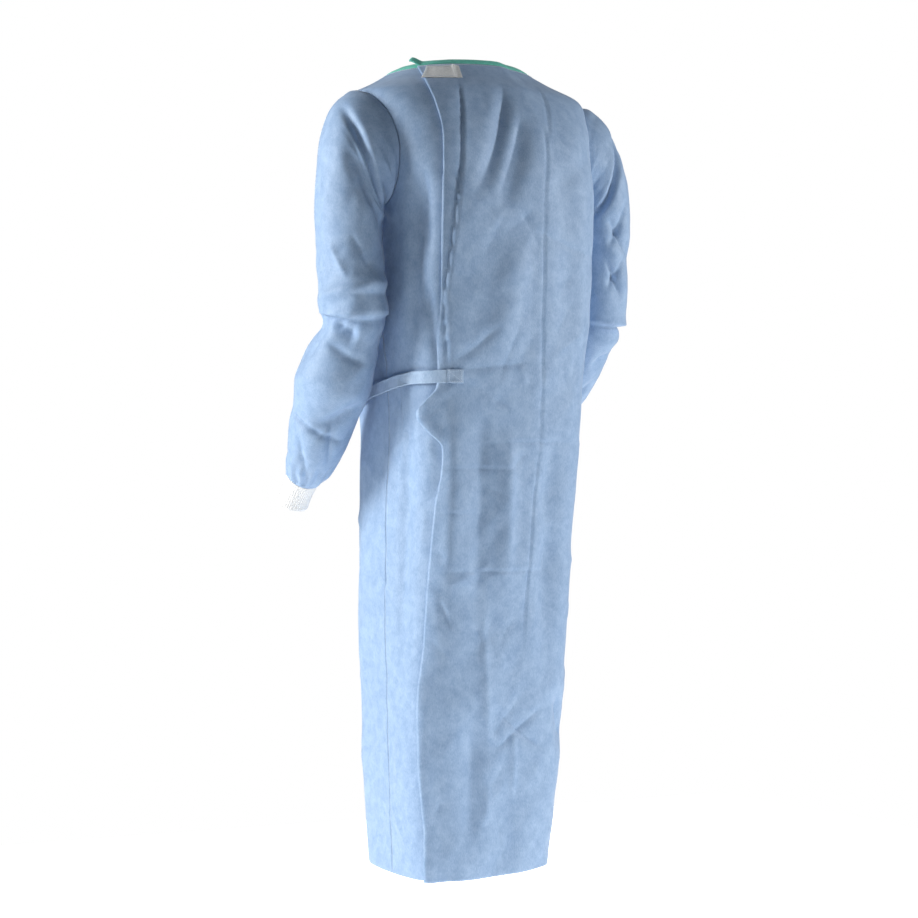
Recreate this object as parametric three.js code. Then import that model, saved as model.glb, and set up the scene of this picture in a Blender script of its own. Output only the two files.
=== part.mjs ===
// A worn surgical gown of nonwoven cloth, hollow, as it stands on a general figure.
// Millimetres, +Z up. The wearer faces -Y and the wearer's left is +X.
// The origin is between the shoulders, level with the back of the neck.
// Round the body an angle runs from the wearer's left (0) by the back (90) to the right (180).
import * as THREE from "three";

// Cloth
const WALL = 1.5; // thickness of one layer of cloth
const GAP = 0.4; // left open at a seam and under a piece that lies on another
const LIE = 1.35; // left open under a strip whose facets differ from the panel's
const LIE_SHORT = 0.8; // the same under a short piece
const LAP = 3.2; // the right back panel rides this far outside the left one
const LAP_START = 122; // angle at which the right back panel starts to rise
const LAP_FULL = 106; // angle from which it rides at the full height
const UNDER_EDGE = 98; // inner edge of the left back panel, under the right one

// Levels of the body, top to bottom
const BINDING_TOP = -8;
const NECK = -17;
const ARMHOLE_TOP = -56;
const ARMHOLE_BOTTOM = -236;
const HEM = -1300;
const BELT = -509;

// Armholes
const SIDE = 4; // angle of the left side seam, and of the shoulder seam above it
const ARMHOLE_HALF_ANGLE = 21;
const ARMHOLE_STEPS = 8; // rows from the top of an armhole to its bottom
const ARMHOLE_CLEAR = 0.993; // the sleeve's first ring is this much of the armhole

// Steps between the edges of the panels, round the body
const FRONT_COLUMNS = 19;
const SIDE_COLUMNS = 5; // left back panel, from the side seam to the free edge over it
const LAP_COLUMNS = 7; // both back panels, where they lap
const RIGHT_COLUMNS = 8; // right back panel, from the lap to its side seam
const BINDING_COLUMNS = 48;

// Horizontal sections of the body. rise lifts the back and drops the front of a section.
const BODY = [
  { z: -8, rise: 9, halfWidth: 108, halfDepth: 84, x: 0, y: -44, square: 2.2 },
  { z: -34, rise: 9, halfWidth: 156, halfDepth: 101, x: 0, y: -32, square: 2.3 },
  { z: -56, rise: 5, halfWidth: 198, halfDepth: 120, x: 0, y: -20, square: 2.5 },
  { z: -95, rise: 0, halfWidth: 194, halfDepth: 138, x: 0, y: -9, square: 2.9 },
  { z: -150, rise: 0, halfWidth: 183, halfDepth: 151, x: 0, y: -2, square: 3.4 },
  { z: -236, rise: 0, halfWidth: 170, halfDepth: 159, x: 0, y: 0, square: 4.3 },
  { z: -420, rise: 0, halfWidth: 166, halfDepth: 160, x: 0, y: 0, square: 4.4 },
  { z: -510, rise: 0, halfWidth: 158, halfDepth: 156, x: 0, y: 0, square: 4.2 },
  { z: -656, rise: 0, halfWidth: 153, halfDepth: 151, x: 4, y: -2, square: 4.0 },
  { z: -826, rise: 0, halfWidth: 150, halfDepth: 149, x: 11, y: -6, square: 4.0 },
  { z: -1029, rise: 0, halfWidth: 141, halfDepth: 141, x: 14, y: -8, square: 4.0 },
  { z: -1300, rise: 0, halfWidth: 127, halfDepth: 127, x: 16, y: -9, square: 3.8 },
];

// Free edge of the right back panel, by level.
const FREE_EDGE = [
  { z: -8, angle: 24 },
  { z: -50, angle: 38 },
  { z: -100, angle: 45 },
  { z: -150, angle: 47 },
  { z: -400, angle: 46 },
  { z: -470, angle: 44 },
  { z: -540, angle: 43 },
  { z: -620, angle: 48 },
  { z: -720, angle: 45 },
  { z: -900, angle: 41 },
  { z: -1050, angle: 38 },
  { z: -1300, angle: 42 },
];

// Large soft folds of the body, each a line from one place to another. depth is inwards.
const FOLDS = [
  { angle: 34, z: -180, toAngle: 33, toZ: -455, width: 20, depth: 9 },
  { angle: 84, z: -70, toAngle: 66, toZ: -230, width: 22, depth: 5 },
  { angle: 96, z: -110, toAngle: 78, toZ: -250, width: 22, depth: 4 },
  { angle: 52, z: -560, toAngle: 54, toZ: -830, width: 20, depth: -6 },
  { angle: 80, z: -620, toAngle: 82, toZ: -860, width: 26, depth: -5 },
  { angle: 112, z: -600, toAngle: 116, toZ: -980, width: 26, depth: 5 },
  { angle: 72, z: -1040, toAngle: 68, toZ: -1240, width: 24, depth: 5 },
  { angle: 148, z: -560, toAngle: 150, toZ: -900, width: 26, depth: 5 },
  { angle: 250, z: -560, toAngle: 246, toZ: -1000, width: 28, depth: 6 },
  { angle: 286, z: -600, toAngle: 290, toZ: -1120, width: 28, depth: 6 },
  { angle: 268, z: -130, toAngle: 262, toZ: -440, width: 30, depth: 5 },
  { angle: 318, z: -520, toAngle: 322, toZ: -900, width: 26, depth: 5 },
];

// Sections of the left and right arms from below the armhole to the wrist. x is away from
// the middle of the body, across is the half width there, along the half depth.
const LEFT_ARM = [
  { x: 232, y: 22, z: -268, across: 50, along: 62 },
  { x: 231, y: 22, z: -330, across: 49, along: 60 },
  { x: 229, y: 27, z: -385, across: 48, along: 60 },
  { x: 228, y: 29, z: -412, across: 50, along: 61 },
  { x: 229, y: 20, z: -438, across: 46, along: 51 },
  { x: 231, y: 2, z: -470, across: 51, along: 58 },
  { x: 235, y: -24, z: -512, across: 58, along: 68 },
  { x: 237, y: -50, z: -560, across: 52, along: 57 },
  { x: 239, y: -76, z: -606, across: 48, along: 53 },
  { x: 240, y: -103, z: -645, across: 38, along: 41 },
  { x: 241, y: -122, z: -668, across: 27, along: 28 },
];
const RIGHT_ARM = [
  { x: 232, y: 20, z: -268, across: 50, along: 62 },
  { x: 232, y: 16, z: -335, across: 49, along: 60 },
  { x: 231, y: 10, z: -390, across: 49, along: 58 },
  { x: 230, y: 2, z: -422, across: 52, along: 59 },
  { x: 229, y: -18, z: -448, across: 47, along: 52 },
  { x: 227, y: -52, z: -482, across: 52, along: 54 },
  { x: 225, y: -96, z: -522, across: 52, along: 53 },
  { x: 222, y: -142, z: -562, across: 44, along: 46 },
  { x: 220, y: -172, z: -588, across: 34, along: 36 },
  { x: 219, y: -188, z: -602, across: 27, along: 28 },
];
const CAP_RINGS = 6; // rings from the armhole to the first section of the arm
const ARM_RINGS = 13; // rings from there to the wrist
const CUFF = { length: 52, half: 25, rings: 3, wall: 1.8 };

// Flat trims
const TRIM_WALL = 1.2;
const BINDING_WALL = 2.2;
const TAB = { top: -22, bottom: -44, angle: 35, toAngle: 60, columns: 6 };
const PATCH = { halfHeight: 11, angle: 48.5, toAngle: 56 };
const BELT_HALF = 10;
const BELT_ROUTE = [
  { angle: -90, z: -582 },
  { angle: -78, z: -578 },
  { angle: -45, z: -552 },
  { angle: 0, z: -524 },
  { angle: 28, z: -512 },
  { angle: 48.5, z: BELT },
];
const FRONT_TIE = { angle: -116, z: -586 };
const KNOT = { angle: -82, z: -580, width: 30, height: 26, depth: 15 };
const TAIL_HALF = 3.8; // half the angle that a tail's width covers
const TAIL_ROWS = 8;
const TAILS = [
  { name: "tie_tail_left", angle: -77, toAngle: -71, length: 215 },
  { name: "tie_tail_right", angle: -87, toAngle: -93, length: 180 },
];

const COLOURS = {
  cloth: 0xa9c3e6,
  knit: 0xf2f2f0,
  binding: 0x5fc9ae,
  tab: 0xe9ebea,
  tie: 0xbdd0ea,
};
const finish = (color, roughness) =>
  new THREE.MeshStandardMaterial({ color, roughness, metalness: 0 });

// Smooth value of a column of a table at a place along its key column.
function along(table, key, place, column) {
  const step = Math.sign(table[1][key] - table[0][key]);
  let i = 0;
  while (i < table.length - 2 && (table[i + 1][key] - place) * step < 0) i += 1;
  const slope = (k) => {
    const low = table[Math.max(k - 1, 0)];
    const high = table[Math.min(k + 1, table.length - 1)];
    return (high[column] - low[column]) / (high[key] - low[key]);
  };
  const [p, q] = [table[i], table[i + 1]];
  const span = q[key] - p[key];
  const t = THREE.MathUtils.clamp((place - p[key]) / span, 0, 1);
  const ease = t * t * (3 - 2 * t);
  const lean = t * (1 - t) * ((1 - t) * slope(i) - t * slope(i + 1)) * span;
  return p[column] + (q[column] - p[column]) * ease + lean;
}

const radians = THREE.MathUtils.degToRad;
const spaced = (from, to, steps) =>
  Array.from({ length: steps + 1 }, (_, i) => THREE.MathUtils.lerp(from, to, i / steps));

// Inward depth of the folds at a place on the body.
function foldDepth(z, angle) {
  let depth = 0;
  for (const fold of FOLDS) {
    const turn = THREE.MathUtils.euclideanModulo(angle - fold.angle + 180, 360) - 180;
    const reach = (z - fold.z) / (fold.toZ - fold.z);
    const centre = (fold.toAngle - fold.angle) * THREE.MathUtils.clamp(reach, 0, 1);
    const across = radians(turn - centre) * 155;
    const ends = THREE.MathUtils.smoothstep(reach, -0.1, 0.25) *
      (1 - THREE.MathUtils.smoothstep(reach, 0.75, 1.1));
    depth += fold.depth * ends * Math.exp(-((across / fold.width) ** 2));
  }
  return depth;
}

// A point of the cloth's outer face at a level and an angle round the body.
function bodyBase(z, angle) {
  const at = (column) => along(BODY, "z", z, column);
  const [c, s] = [Math.cos(radians(angle)), Math.sin(radians(angle))];
  const n = at("square");
  const [a, b] = [at("halfWidth"), at("halfDepth")];
  const full = (Math.abs(c / a) ** n + Math.abs(s / b) ** n) ** (-1 / n);
  const radius = full - foldDepth(z, angle);
  const hemLift = 11 * (1 - Math.cos(radians(angle - 42)));
  const lift = hemLift * THREE.MathUtils.smoothstep(-z, 1000, -HEM);
  return new THREE.Vector3(
    at("x") + radius * c,
    at("y") + radius * s,
    z + at("rise") * s + lift,
  );
}

// The same point moved out of the cloth by a distance, along the cloth's own normal.
function bodyPoint(z, angle, out) {
  const down = bodyBase(z - 2, angle).sub(bodyBase(z + 2, angle));
  const round = bodyBase(z, angle + 0.5).sub(bodyBase(z, angle - 0.5));
  return bodyBase(z, angle).addScaledVector(down.cross(round).normalize(), out);
}

// One closed body between an outer and an inner grid of points.
function shell(name, outer, inner, closed, material) {
  const [rows, columns] = [outer.length, outer[0].length];
  const points = [...outer.flat(), ...inner.flat()];
  const at = (side, i, j) => side * rows * columns + i * columns + (j % columns);
  const faces = [];
  const quad = (a, b, c, d) => faces.push(a, b, c, a, c, d);
  const steps = closed ? columns : columns - 1;
  for (let i = 0; i < rows - 1; i += 1)
    for (let j = 0; j < steps; j += 1) {
      quad(at(0, i, j), at(0, i + 1, j), at(0, i + 1, j + 1), at(0, i, j + 1));
      quad(at(1, i, j), at(1, i, j + 1), at(1, i + 1, j + 1), at(1, i + 1, j));
    }
  for (let j = 0; j < steps; j += 1) {
    quad(at(0, 0, j), at(0, 0, j + 1), at(1, 0, j + 1), at(1, 0, j));
    quad(at(0, rows - 1, j), at(1, rows - 1, j), at(1, rows - 1, j + 1), at(0, rows - 1, j + 1));
  }
  for (let i = 0; i < rows - 1 && !closed; i += 1) {
    quad(at(0, i, 0), at(1, i, 0), at(1, i + 1, 0), at(0, i + 1, 0));
    const last = columns - 1;
    quad(at(0, i, last), at(0, i + 1, last), at(1, i + 1, last), at(1, i, last));
  }
  let volume = 0;
  for (let k = 0; k < faces.length; k += 3) {
    const [p, q, r] = [points[faces[k]], points[faces[k + 1]], points[faces[k + 2]]];
    volume += p.dot(q.clone().cross(r));
  }
  if (volume < 0) faces.reverse();
  const geometry = new THREE.BufferGeometry().setFromPoints(points);
  geometry.setIndex(faces);
  geometry.computeVertexNormals();
  const mesh = new THREE.Mesh(geometry, material);
  mesh.name = name;
  return mesh;
}

// Cloth on the body: rows of levels, and at each level angles from one edge to the other.
function bodyCloth(name, spec) {
  const { levels, angles, out, wall, material } = spec;
  const grid = (inset) =>
    levels.map((z) => angles(z).map((angle) => bodyPoint(z, angle, out(angle) - inset)));
  return shell(name, grid(0), grid(wall), false, material);
}

// Half angle of the armhole at a level, or none above and below it.
function armholeHalf(z) {
  const middle = (ARMHOLE_TOP + ARMHOLE_BOTTOM) / 2;
  const half = (ARMHOLE_TOP - ARMHOLE_BOTTOM) / 2;
  const part = 1 - ((z - middle) / half) ** 2;
  return part > 1e-6 ? ARMHOLE_HALF_ANGLE * Math.sqrt(part) : 0;
}

function armholePoint(side, turn) {
  const middle = (ARMHOLE_TOP + ARMHOLE_BOTTOM) / 2;
  const half = (ARMHOLE_TOP - ARMHOLE_BOTTOM) / 2;
  const z = middle + half * ARMHOLE_CLEAR * Math.cos(turn);
  const angle = SIDE + ARMHOLE_HALF_ANGLE * ARMHOLE_CLEAR * Math.sin(turn);
  return bodyPoint(z, side > 0 ? angle : 180 - angle, 0);
}

const armholeLevels = Array.from({ length: ARMHOLE_STEPS + 1 }, (_, i) =>
  (ARMHOLE_TOP + ARMHOLE_BOTTOM) / 2 +
  ((ARMHOLE_TOP - ARMHOLE_BOTTOM) / 2) * Math.cos((Math.PI * i) / ARMHOLE_STEPS),
);
const LEVELS = [
  ...spaced(NECK, ARMHOLE_TOP, 3).slice(0, -1),
  ...armholeLevels,
  ...spaced(ARMHOLE_BOTTOM, BELT, 5).slice(1),
  ...spaced(BELT, HEM, 11).slice(1),
];

const SEAM_ANGLE = 0.08; // half a side seam's gap, in degrees
const lapRise = (angle) => LAP * (1 - THREE.MathUtils.smoothstep(angle, LAP_FULL, LAP_START));
const freeEdge = (z) => along(FREE_EDGE, "z", z, "angle");

const cloth = finish(COLOURS.cloth, 0.8);
const knit = finish(COLOURS.knit, 0.9);
const binding = finish(COLOURS.binding, 0.7);
const tabCloth = finish(COLOURS.tab, 0.8);
const tieCloth = finish(COLOURS.tie, 0.8);

// The two back panels share their angles where they lap, so their facets stay parallel.
function bodyPanels() {
  const base = { levels: LEVELS, wall: WALL, material: cloth };
  const side = (z) => SIDE + armholeHalf(z) + SEAM_ANGLE;
  const lapped = (z) => spaced(freeEdge(z), UNDER_EDGE, LAP_COLUMNS);
  const front = bodyCloth("front_panel", {
    ...base,
    angles: (z) => spaced(2 * SIDE - side(z), side(z) - 180 - 2 * SIDE, FRONT_COLUMNS),
    out: () => 0,
  });
  const backLeft = bodyCloth("back_panel_left", {
    ...base,
    angles: (z) => [...spaced(side(z), freeEdge(z), SIDE_COLUMNS).slice(0, -1), ...lapped(z)],
    out: () => 0,
  });
  const backRight = bodyCloth("back_panel_right", {
    ...base,
    angles: (z) => [...lapped(z), ...spaced(UNDER_EDGE, 180 - side(z), RIGHT_COLUMNS).slice(1)],
    out: lapRise,
  });
  return [front, backLeft, backRight];
}

// A smooth place and half sizes along an arm, from 0 at its top to 1 at the wrist.
function armAt(arm, part) {
  const rows = arm.map((row, i) => ({ ...row, part: i / (arm.length - 1) }));
  const at = (column) => along(rows, "part", part, column);
  const centre = new THREE.Vector3(at("x"), at("y"), at("z"));
  return { centre, across: at("across"), along: at("along") };
}

// A ring of points round a centre line, square to its direction.
function ring(side, centre, direction, across, alongHalf) {
  const outward = new THREE.Vector3(1, 0, 0).addScaledVector(direction, -direction.x).normalize();
  const backward = new THREE.Vector3().crossVectors(outward, direction).normalize();
  return Array.from({ length: ARMHOLE_STEPS * 2 }, (_, k) => {
    const turn = (Math.PI * k) / ARMHOLE_STEPS;
    const p = centre.clone()
      .addScaledVector(outward, across * Math.cos(turn))
      .addScaledVector(backward, alongHalf * Math.sin(turn));
    return new THREE.Vector3(side * p.x, p.y, p.z);
  });
}

function armRing(side, arm, part) {
  const here = armAt(arm, part);
  const direction = armAt(arm, part + 0.02).centre.sub(armAt(arm, part - 0.02).centre).normalize();
  return ring(side, here.centre, direction, here.across, here.along);
}

// Each point of a tube moved inwards by the wall, away from the tube's outer face.
function insideOf(rings, wall) {
  const count = rings[0].length;
  return rings.map((row, i) => row.map((p, j) => {
    const before = rings[Math.max(i - 1, 0)][j];
    const after = rings[Math.min(i + 1, rings.length - 1)][j];
    const round = row[(j + 1) % count].clone().sub(row[(j + count - 1) % count]);
    const normal = after.clone().sub(before).cross(round).normalize();
    const middle = row.reduce((sum, q) => sum.add(q), new THREE.Vector3()).divideScalar(count);
    const outward = normal.dot(p.clone().sub(middle)) < 0 ? -1 : 1;
    return p.clone().addScaledVector(normal, -outward * wall);
  }));
}

function sleeve(name, side, arm) {
  const top = armRing(side, arm, 0);
  const cap = Array.from({ length: CAP_RINGS }, (_, i) => {
    const t = i / CAP_RINGS;
    return top.map((end, k) => {
      const start = armholePoint(side, (Math.PI * k) / ARMHOLE_STEPS);
      const corner = new THREE.Vector3(end.x, (start.y + end.y) / 2, start.z);
      return new THREE.QuadraticBezierCurve3(start, corner, end).getPoint(t);
    });
  });
  const rings = [...cap, ...spaced(0, 1, ARM_RINGS).map((part) => armRing(side, arm, part))];
  return shell(name, rings, insideOf(rings, WALL), true, cloth);
}

// A knitted tube sewn to the end of a sleeve, going on in the arm's direction.
function cuff(name, side, arm) {
  const wrist = armAt(arm, 1);
  const direction = wrist.centre.clone().sub(armAt(arm, 0.96).centre).normalize();
  const rings = spaced(GAP, CUFF.length, CUFF.rings).map((reach, i) => {
    const centre = wrist.centre.clone().addScaledVector(direction, reach);
    const half = THREE.MathUtils.lerp(wrist.across, CUFF.half, i / CUFF.rings);
    return ring(side, centre, direction, half, half);
  });
  return shell(name, rings, insideOf(rings, CUFF.wall), true, knit);
}

// Bias tape on the neck edge, from the left back panel's inner edge round the front and
// on over itself to the free edge of the right back panel.
function neckBinding() {
  const end = freeEdge(BINDING_TOP) - 360;
  return bodyCloth("neck_binding", {
    levels: [BINDING_TOP, NECK + GAP],
    angles: () => spaced(UNDER_EDGE, end, BINDING_COLUMNS),
    out: (angle) => GAP + (angle < -180 ? lapRise(angle + 360) : 0),
    wall: BINDING_WALL,
    material: binding,
  });
}

const overRight = LAP + LIE + TRIM_WALL;

function closureTab() {
  return bodyCloth("closure_tab", {
    levels: spaced(TAB.top, TAB.bottom, 3),
    angles: (z) => spaced(TAB.toAngle, Math.max(TAB.angle, freeEdge(z) + 1), TAB.columns),
    out: () => LAP + LIE_SHORT + TRIM_WALL,
    wall: TRIM_WALL,
    material: tabCloth,
  });
}

// A strip of tie on the body whose middle line follows a route of levels by angle.
function bodyStrip(name, route, halfHeight, columns, out) {
  const ends = [route[0].angle, route[route.length - 1].angle];
  const grid = (inset) =>
    [halfHeight, 0, -halfHeight].map((height) =>
      spaced(ends[0], ends[1], columns).map((angle) =>
        bodyPoint(along(route, "angle", angle, "z") + height, angle, out - inset),
      ),
    );
  return shell(name, grid(0), grid(TRIM_WALL), false, tieCloth);
}

function ties() {
  const level = (from, to, z) => [{ angle: from, z }, { angle: to, z }];
  const clear = 0.2; // degrees between the belt's end and the patch it is sewn to
  const patchRoute = level(PATCH.angle + clear, PATCH.toAngle, BELT);
  const patch = bodyStrip("tie_patch", patchRoute, PATCH.halfHeight, 3, overRight);
  const belt = bodyStrip("waist_tie", BELT_ROUTE, BELT_HALF, 30, overRight);
  const frontRoute = [
    { angle: FRONT_TIE.angle, z: FRONT_TIE.z },
    { angle: KNOT.angle - 4.6, z: KNOT.z },
  ];
  const front = bodyStrip("front_tie", frontRoute, BELT_HALF, 9, LIE + TRIM_WALL);
  return [patch, belt, front];
}

// A half hitch of tie cloth in front of the belt's end, and its two free tails.
function knotAndTails() {
  const seat = bodyPoint(KNOT.z, KNOT.angle, overRight + GAP);
  const outward = bodyPoint(KNOT.z, KNOT.angle, overRight + 10).sub(seat).normalize();
  const geometry = new THREE.SphereGeometry(0.5, 14, 10);
  geometry.scale(KNOT.width, KNOT.depth, KNOT.height);
  const knot = new THREE.Mesh(geometry, tieCloth);
  knot.name = "tie_knot";
  knot.rotation.z = Math.atan2(outward.y, outward.x) + Math.PI / 2;
  knot.position.copy(seat).addScaledVector(outward, KNOT.depth / 2);
  const tails = TAILS.map((tail) => {
    const middle = (z) => tail.angle + ((KNOT.z - z) / tail.length) * (tail.toAngle - tail.angle);
    const top = along(BELT_ROUTE, "angle", tail.angle - TAIL_HALF, "z") - BELT_HALF - GAP;
    return bodyCloth(tail.name, {
      levels: spaced(top, KNOT.z - tail.length, TAIL_ROWS),
      angles: (z) => spaced(middle(z) - TAIL_HALF, middle(z) + TAIL_HALF, 2),
      out: () => overRight,
      wall: TRIM_WALL,
      material: tieCloth,
    });
  });
  return [knot, ...tails];
}

const gown = new THREE.Group();
gown.add(
  ...bodyPanels(),
  sleeve("sleeve_left", 1, LEFT_ARM),
  sleeve("sleeve_right", -1, RIGHT_ARM),
  cuff("cuff_left", 1, LEFT_ARM),
  cuff("cuff_right", -1, RIGHT_ARM),
  neckBinding(),
  closureTab(),
  ...ties(),
  ...knotAndTails(),
);

export default gown;
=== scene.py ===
# %% [markdown]
# # A worn surgical gown
# The gown is cut from a crisp blue nonwoven: one front, two backs that lap, two sleeves, knitted
# cuffs, green tape round the neck and a waist tie. Nobody wears it here, but it keeps the form.
# Every piece below is a thin shell worked out from the same few sections as its plain solid.

# %% Load the frame
import math
import bmesh
import bpy
import numpy as np
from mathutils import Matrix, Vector


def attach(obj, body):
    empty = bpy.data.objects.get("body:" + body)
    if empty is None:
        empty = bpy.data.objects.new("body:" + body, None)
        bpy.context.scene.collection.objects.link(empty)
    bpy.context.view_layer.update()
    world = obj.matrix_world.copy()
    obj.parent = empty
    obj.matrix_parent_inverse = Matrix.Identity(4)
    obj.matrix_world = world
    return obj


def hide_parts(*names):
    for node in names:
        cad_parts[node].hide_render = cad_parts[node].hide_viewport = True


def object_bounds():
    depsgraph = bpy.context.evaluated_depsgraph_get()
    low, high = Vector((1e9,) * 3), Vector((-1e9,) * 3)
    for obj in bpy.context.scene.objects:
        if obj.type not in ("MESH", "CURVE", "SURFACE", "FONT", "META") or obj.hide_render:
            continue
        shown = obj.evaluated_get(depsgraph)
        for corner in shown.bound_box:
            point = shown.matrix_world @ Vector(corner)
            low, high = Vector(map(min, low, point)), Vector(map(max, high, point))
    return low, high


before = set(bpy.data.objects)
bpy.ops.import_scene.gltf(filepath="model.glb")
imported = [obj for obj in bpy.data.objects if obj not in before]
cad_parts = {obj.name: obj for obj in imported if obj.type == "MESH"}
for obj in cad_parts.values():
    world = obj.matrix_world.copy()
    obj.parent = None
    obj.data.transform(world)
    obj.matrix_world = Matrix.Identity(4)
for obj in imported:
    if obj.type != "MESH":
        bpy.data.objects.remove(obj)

cad_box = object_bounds()
print("plain model, lowest and highest corner:", cad_box)

# %% [markdown]
# Tables are easier to read in millimetres, as a cutter measures, so MM turns them into metres
# at the very end. A smooth curve through each column gives every level between two rows.

# %% Smooth tables
MM = 0.001
rng = np.random.default_rng(11)


def column(table, index):
    return np.array([row[index] for row in table], float)


def along(table, place, index):
    """A column of a table, smoothed between its rows. Rows run by their first column."""
    key, value = column(table, 0), column(table, index)
    if key[1] < key[0]:
        key, place = -key, -np.asarray(place, float)
    low = np.maximum(np.arange(len(key)) - 1, 0)
    high = np.minimum(np.arange(len(key)) + 1, len(key) - 1)
    slope = (value[high] - value[low]) / (key[high] - key[low])
    i = np.clip(np.searchsorted(key, place, side="right") - 1, 0, len(key) - 2)
    span = key[i + 1] - key[i]
    t = np.clip((place - key[i]) / span, 0, 1)
    ease = t * t * (3 - 2 * t)
    lean = t * (1 - t) * ((1 - t) * slope[i] - t * slope[i + 1]) * span
    return value[i] + (value[i + 1] - value[i]) * ease + lean


def smooth(x, low, high):
    t = np.clip((x - low) / (high - low), 0, 1)
    return t * t * (3 - 2 * t)


# %% [markdown]
# The body is a tube of rounded boxes. Each row of the table is one level of it: how much the back
# is lifted and the front dropped, the half width and half depth, the shift of its middle, and how
# square it is. Angles run from the wearer's left (0) by the back (90) to the right (180).

# %% Sections of the body
BODY = [  # level, rise, half width, half depth, x, y, squareness
    (-8, 9, 108, 84, 0, -44, 2.2),
    (-34, 9, 156, 101, 0, -32, 2.3),
    (-56, 5, 198, 120, 0, -20, 2.5),
    (-95, 0, 194, 138, 0, -9, 2.9),
    (-150, 0, 183, 151, 0, -2, 3.4),
    (-236, 0, 170, 159, 0, 0, 4.3),
    (-420, 0, 166, 160, 0, 0, 4.4),
    (-510, 0, 158, 156, 0, 0, 4.2),
    (-656, 0, 153, 151, 4, -2, 4.0),
    (-826, 0, 150, 149, 11, -6, 4.0),
    (-1029, 0, 141, 141, 14, -8, 4.0),
    (-1300, 0, 127, 127, 16, -9, 3.8),
]
FREE_EDGE = [  # level, angle of the right back panel's free edge
    (-8, 24), (-50, 38), (-100, 45), (-150, 47), (-400, 46), (-470, 44), (-525, 44),
    (-552, 38), (-575, 36), (-595, 40), (-620, 47), (-720, 45), (-900, 41), (-1050, 38), (-1300, 42),
]
BINDING_TOP, NECK, HEM, BELT = -8, -17, -1300, -509
ARMHOLE_TOP, ARMHOLE_BOTTOM, ARMHOLE_HALF, SIDE = -56, -236, 21, 4
LAP, LAP_FULL, LAP_START, UNDER_EDGE = 3.2, 106, 122, 98
WALL = 0.7
MM_PER_DEGREE = 2.7
BIG_FACETS, SMALL_FACETS, HILLS, HEM_TILT = 3.0, 1.1, 3.0, 11
free_edge = lambda z: along(FREE_EDGE, z, 1)
print("levels from", NECK, "to", HEM, "millimetres")

# %% [markdown]
# Nonwoven cloth creases like paper. A fold here is a line from one place to another with a
# profile across it: a soft trough, a sharp crease, or a step where one side stands over the
# other. Placing the main ones one by one keeps them as uneven as real ones are.

# %% How a fold is shaped
def fold_depth(angle, level, rows, scale):
    """Inward depth in millimetres of all the folds at each place."""
    depth = np.zeros(np.broadcast(angle, level).shape)
    for angle0, level0, angle1, level1, width, deep, kind in rows:
        turn = (angle - angle0 + 180) % 360 - 180
        x, y = turn * scale, level - level0
        dx, dy = (angle1 - angle0) * scale, level1 - level0
        length = math.hypot(dx, dy)
        reach = (x * dx + y * dy) / length ** 2
        off = (x * dy - y * dx) / length
        if kind == "soft":
            shape = np.exp(-((off / width) ** 2))
        elif kind == "sharp":
            shape = np.exp(-np.sqrt((off / width) ** 2 + 0.04) + 0.2)
        else:
            shape = smooth(off, -1.5, 1.5) * np.exp(-np.maximum(off, 0) / width)
            shape = shape - 0.35 * (1 - smooth(off, -1.5, 1.5)) * np.exp(off.clip(None, 0) / width)
        ends = smooth(reach, -0.08, 0.3) * (1 - smooth(reach, 0.7, 1.08))
        depth += deep * shape * ends
    return depth


def facets(u, v, cells_round, seed):
    """Paper-like noise: flat triangles that meet in crisp edges. It repeats in u, not in v."""
    table = np.random.default_rng(seed).uniform(-1, 1, (cells_round, 97))
    i, j = np.floor(u).astype(int), np.floor(v).astype(int)
    fu, fv = u - i, v - j
    at = lambda a, b: table[(i + a) % cells_round, (j + b) % 97]
    low = at(0, 0) + (at(1, 0) - at(0, 0)) * fu + (at(0, 1) - at(0, 0)) * fv
    high = at(1, 1) + (at(0, 1) - at(1, 1)) * (1 - fu) + (at(1, 0) - at(1, 1)) * (1 - fv)
    return np.where(fu + fv < 1, low, high)


def swell(u, v, cells_round, seed):
    """The same noise with rounded hills in place of flat triangles."""
    table = np.random.default_rng(seed).uniform(-1, 1, (cells_round, 97))
    i, j = np.floor(u).astype(int), np.floor(v).astype(int)
    fu, fv = smooth(u - i, 0, 1), smooth(v - j, 0, 1)
    at = lambda a, b: table[(i + a) % cells_round, (j + b) % 97]
    return (at(0, 0) * (1 - fu) + at(1, 0) * fu) * (1 - fv) + (at(0, 1) * (1 - fu) + at(1, 1) * fu) * fv


# %% [markdown]
# The back carries the folds that the pose makes: troughs that fall from the neck towards the lap,
# the hollow beside the free edge, long ridges down the skirt, and the faint square creases that a
# folded gown keeps from its pack. The front and sides get similar ones.

# %% Folds of the body
MAIN_FOLDS = [  # angle, level, to angle, to level, width, depth, kind
    (35, -180, 34, -470, 15, 13, "soft"),
    (88, -60, 64, -235, 17, 9, "soft"),
    (99, -100, 76, -255, 17, 7.5, "soft"),
    (53, -560, 54, -840, 14, -8, "soft"),
    (82, -600, 86, -860, 18, -8, "soft"),
    (114, -590, 117, -990, 20, 9, "soft"),
    (68, -1040, 66, -1260, 18, 8, "soft"),
    (148, -560, 150, -900, 20, 7, "soft"),
    (66, -560, 68, -900, 13, 6, "soft"),
    (118, -150, 122, -470, 22, 6, "soft"),
    (88, -300, 74, -480, 24, -7, "soft"),
    (26, -560, 24, -960, 16, 7, "soft"),
    (128, -1000, 136, -1110, 20, 8, "soft"),
    (250, -560, 246, -1000, 28, 6, "soft"),
    (286, -600, 290, -1120, 28, 6, "soft"),
    (268, -130, 262, -440, 30, 5, "soft"),
    (318, -520, 322, -900, 26, 5, "soft"),
]
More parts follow.
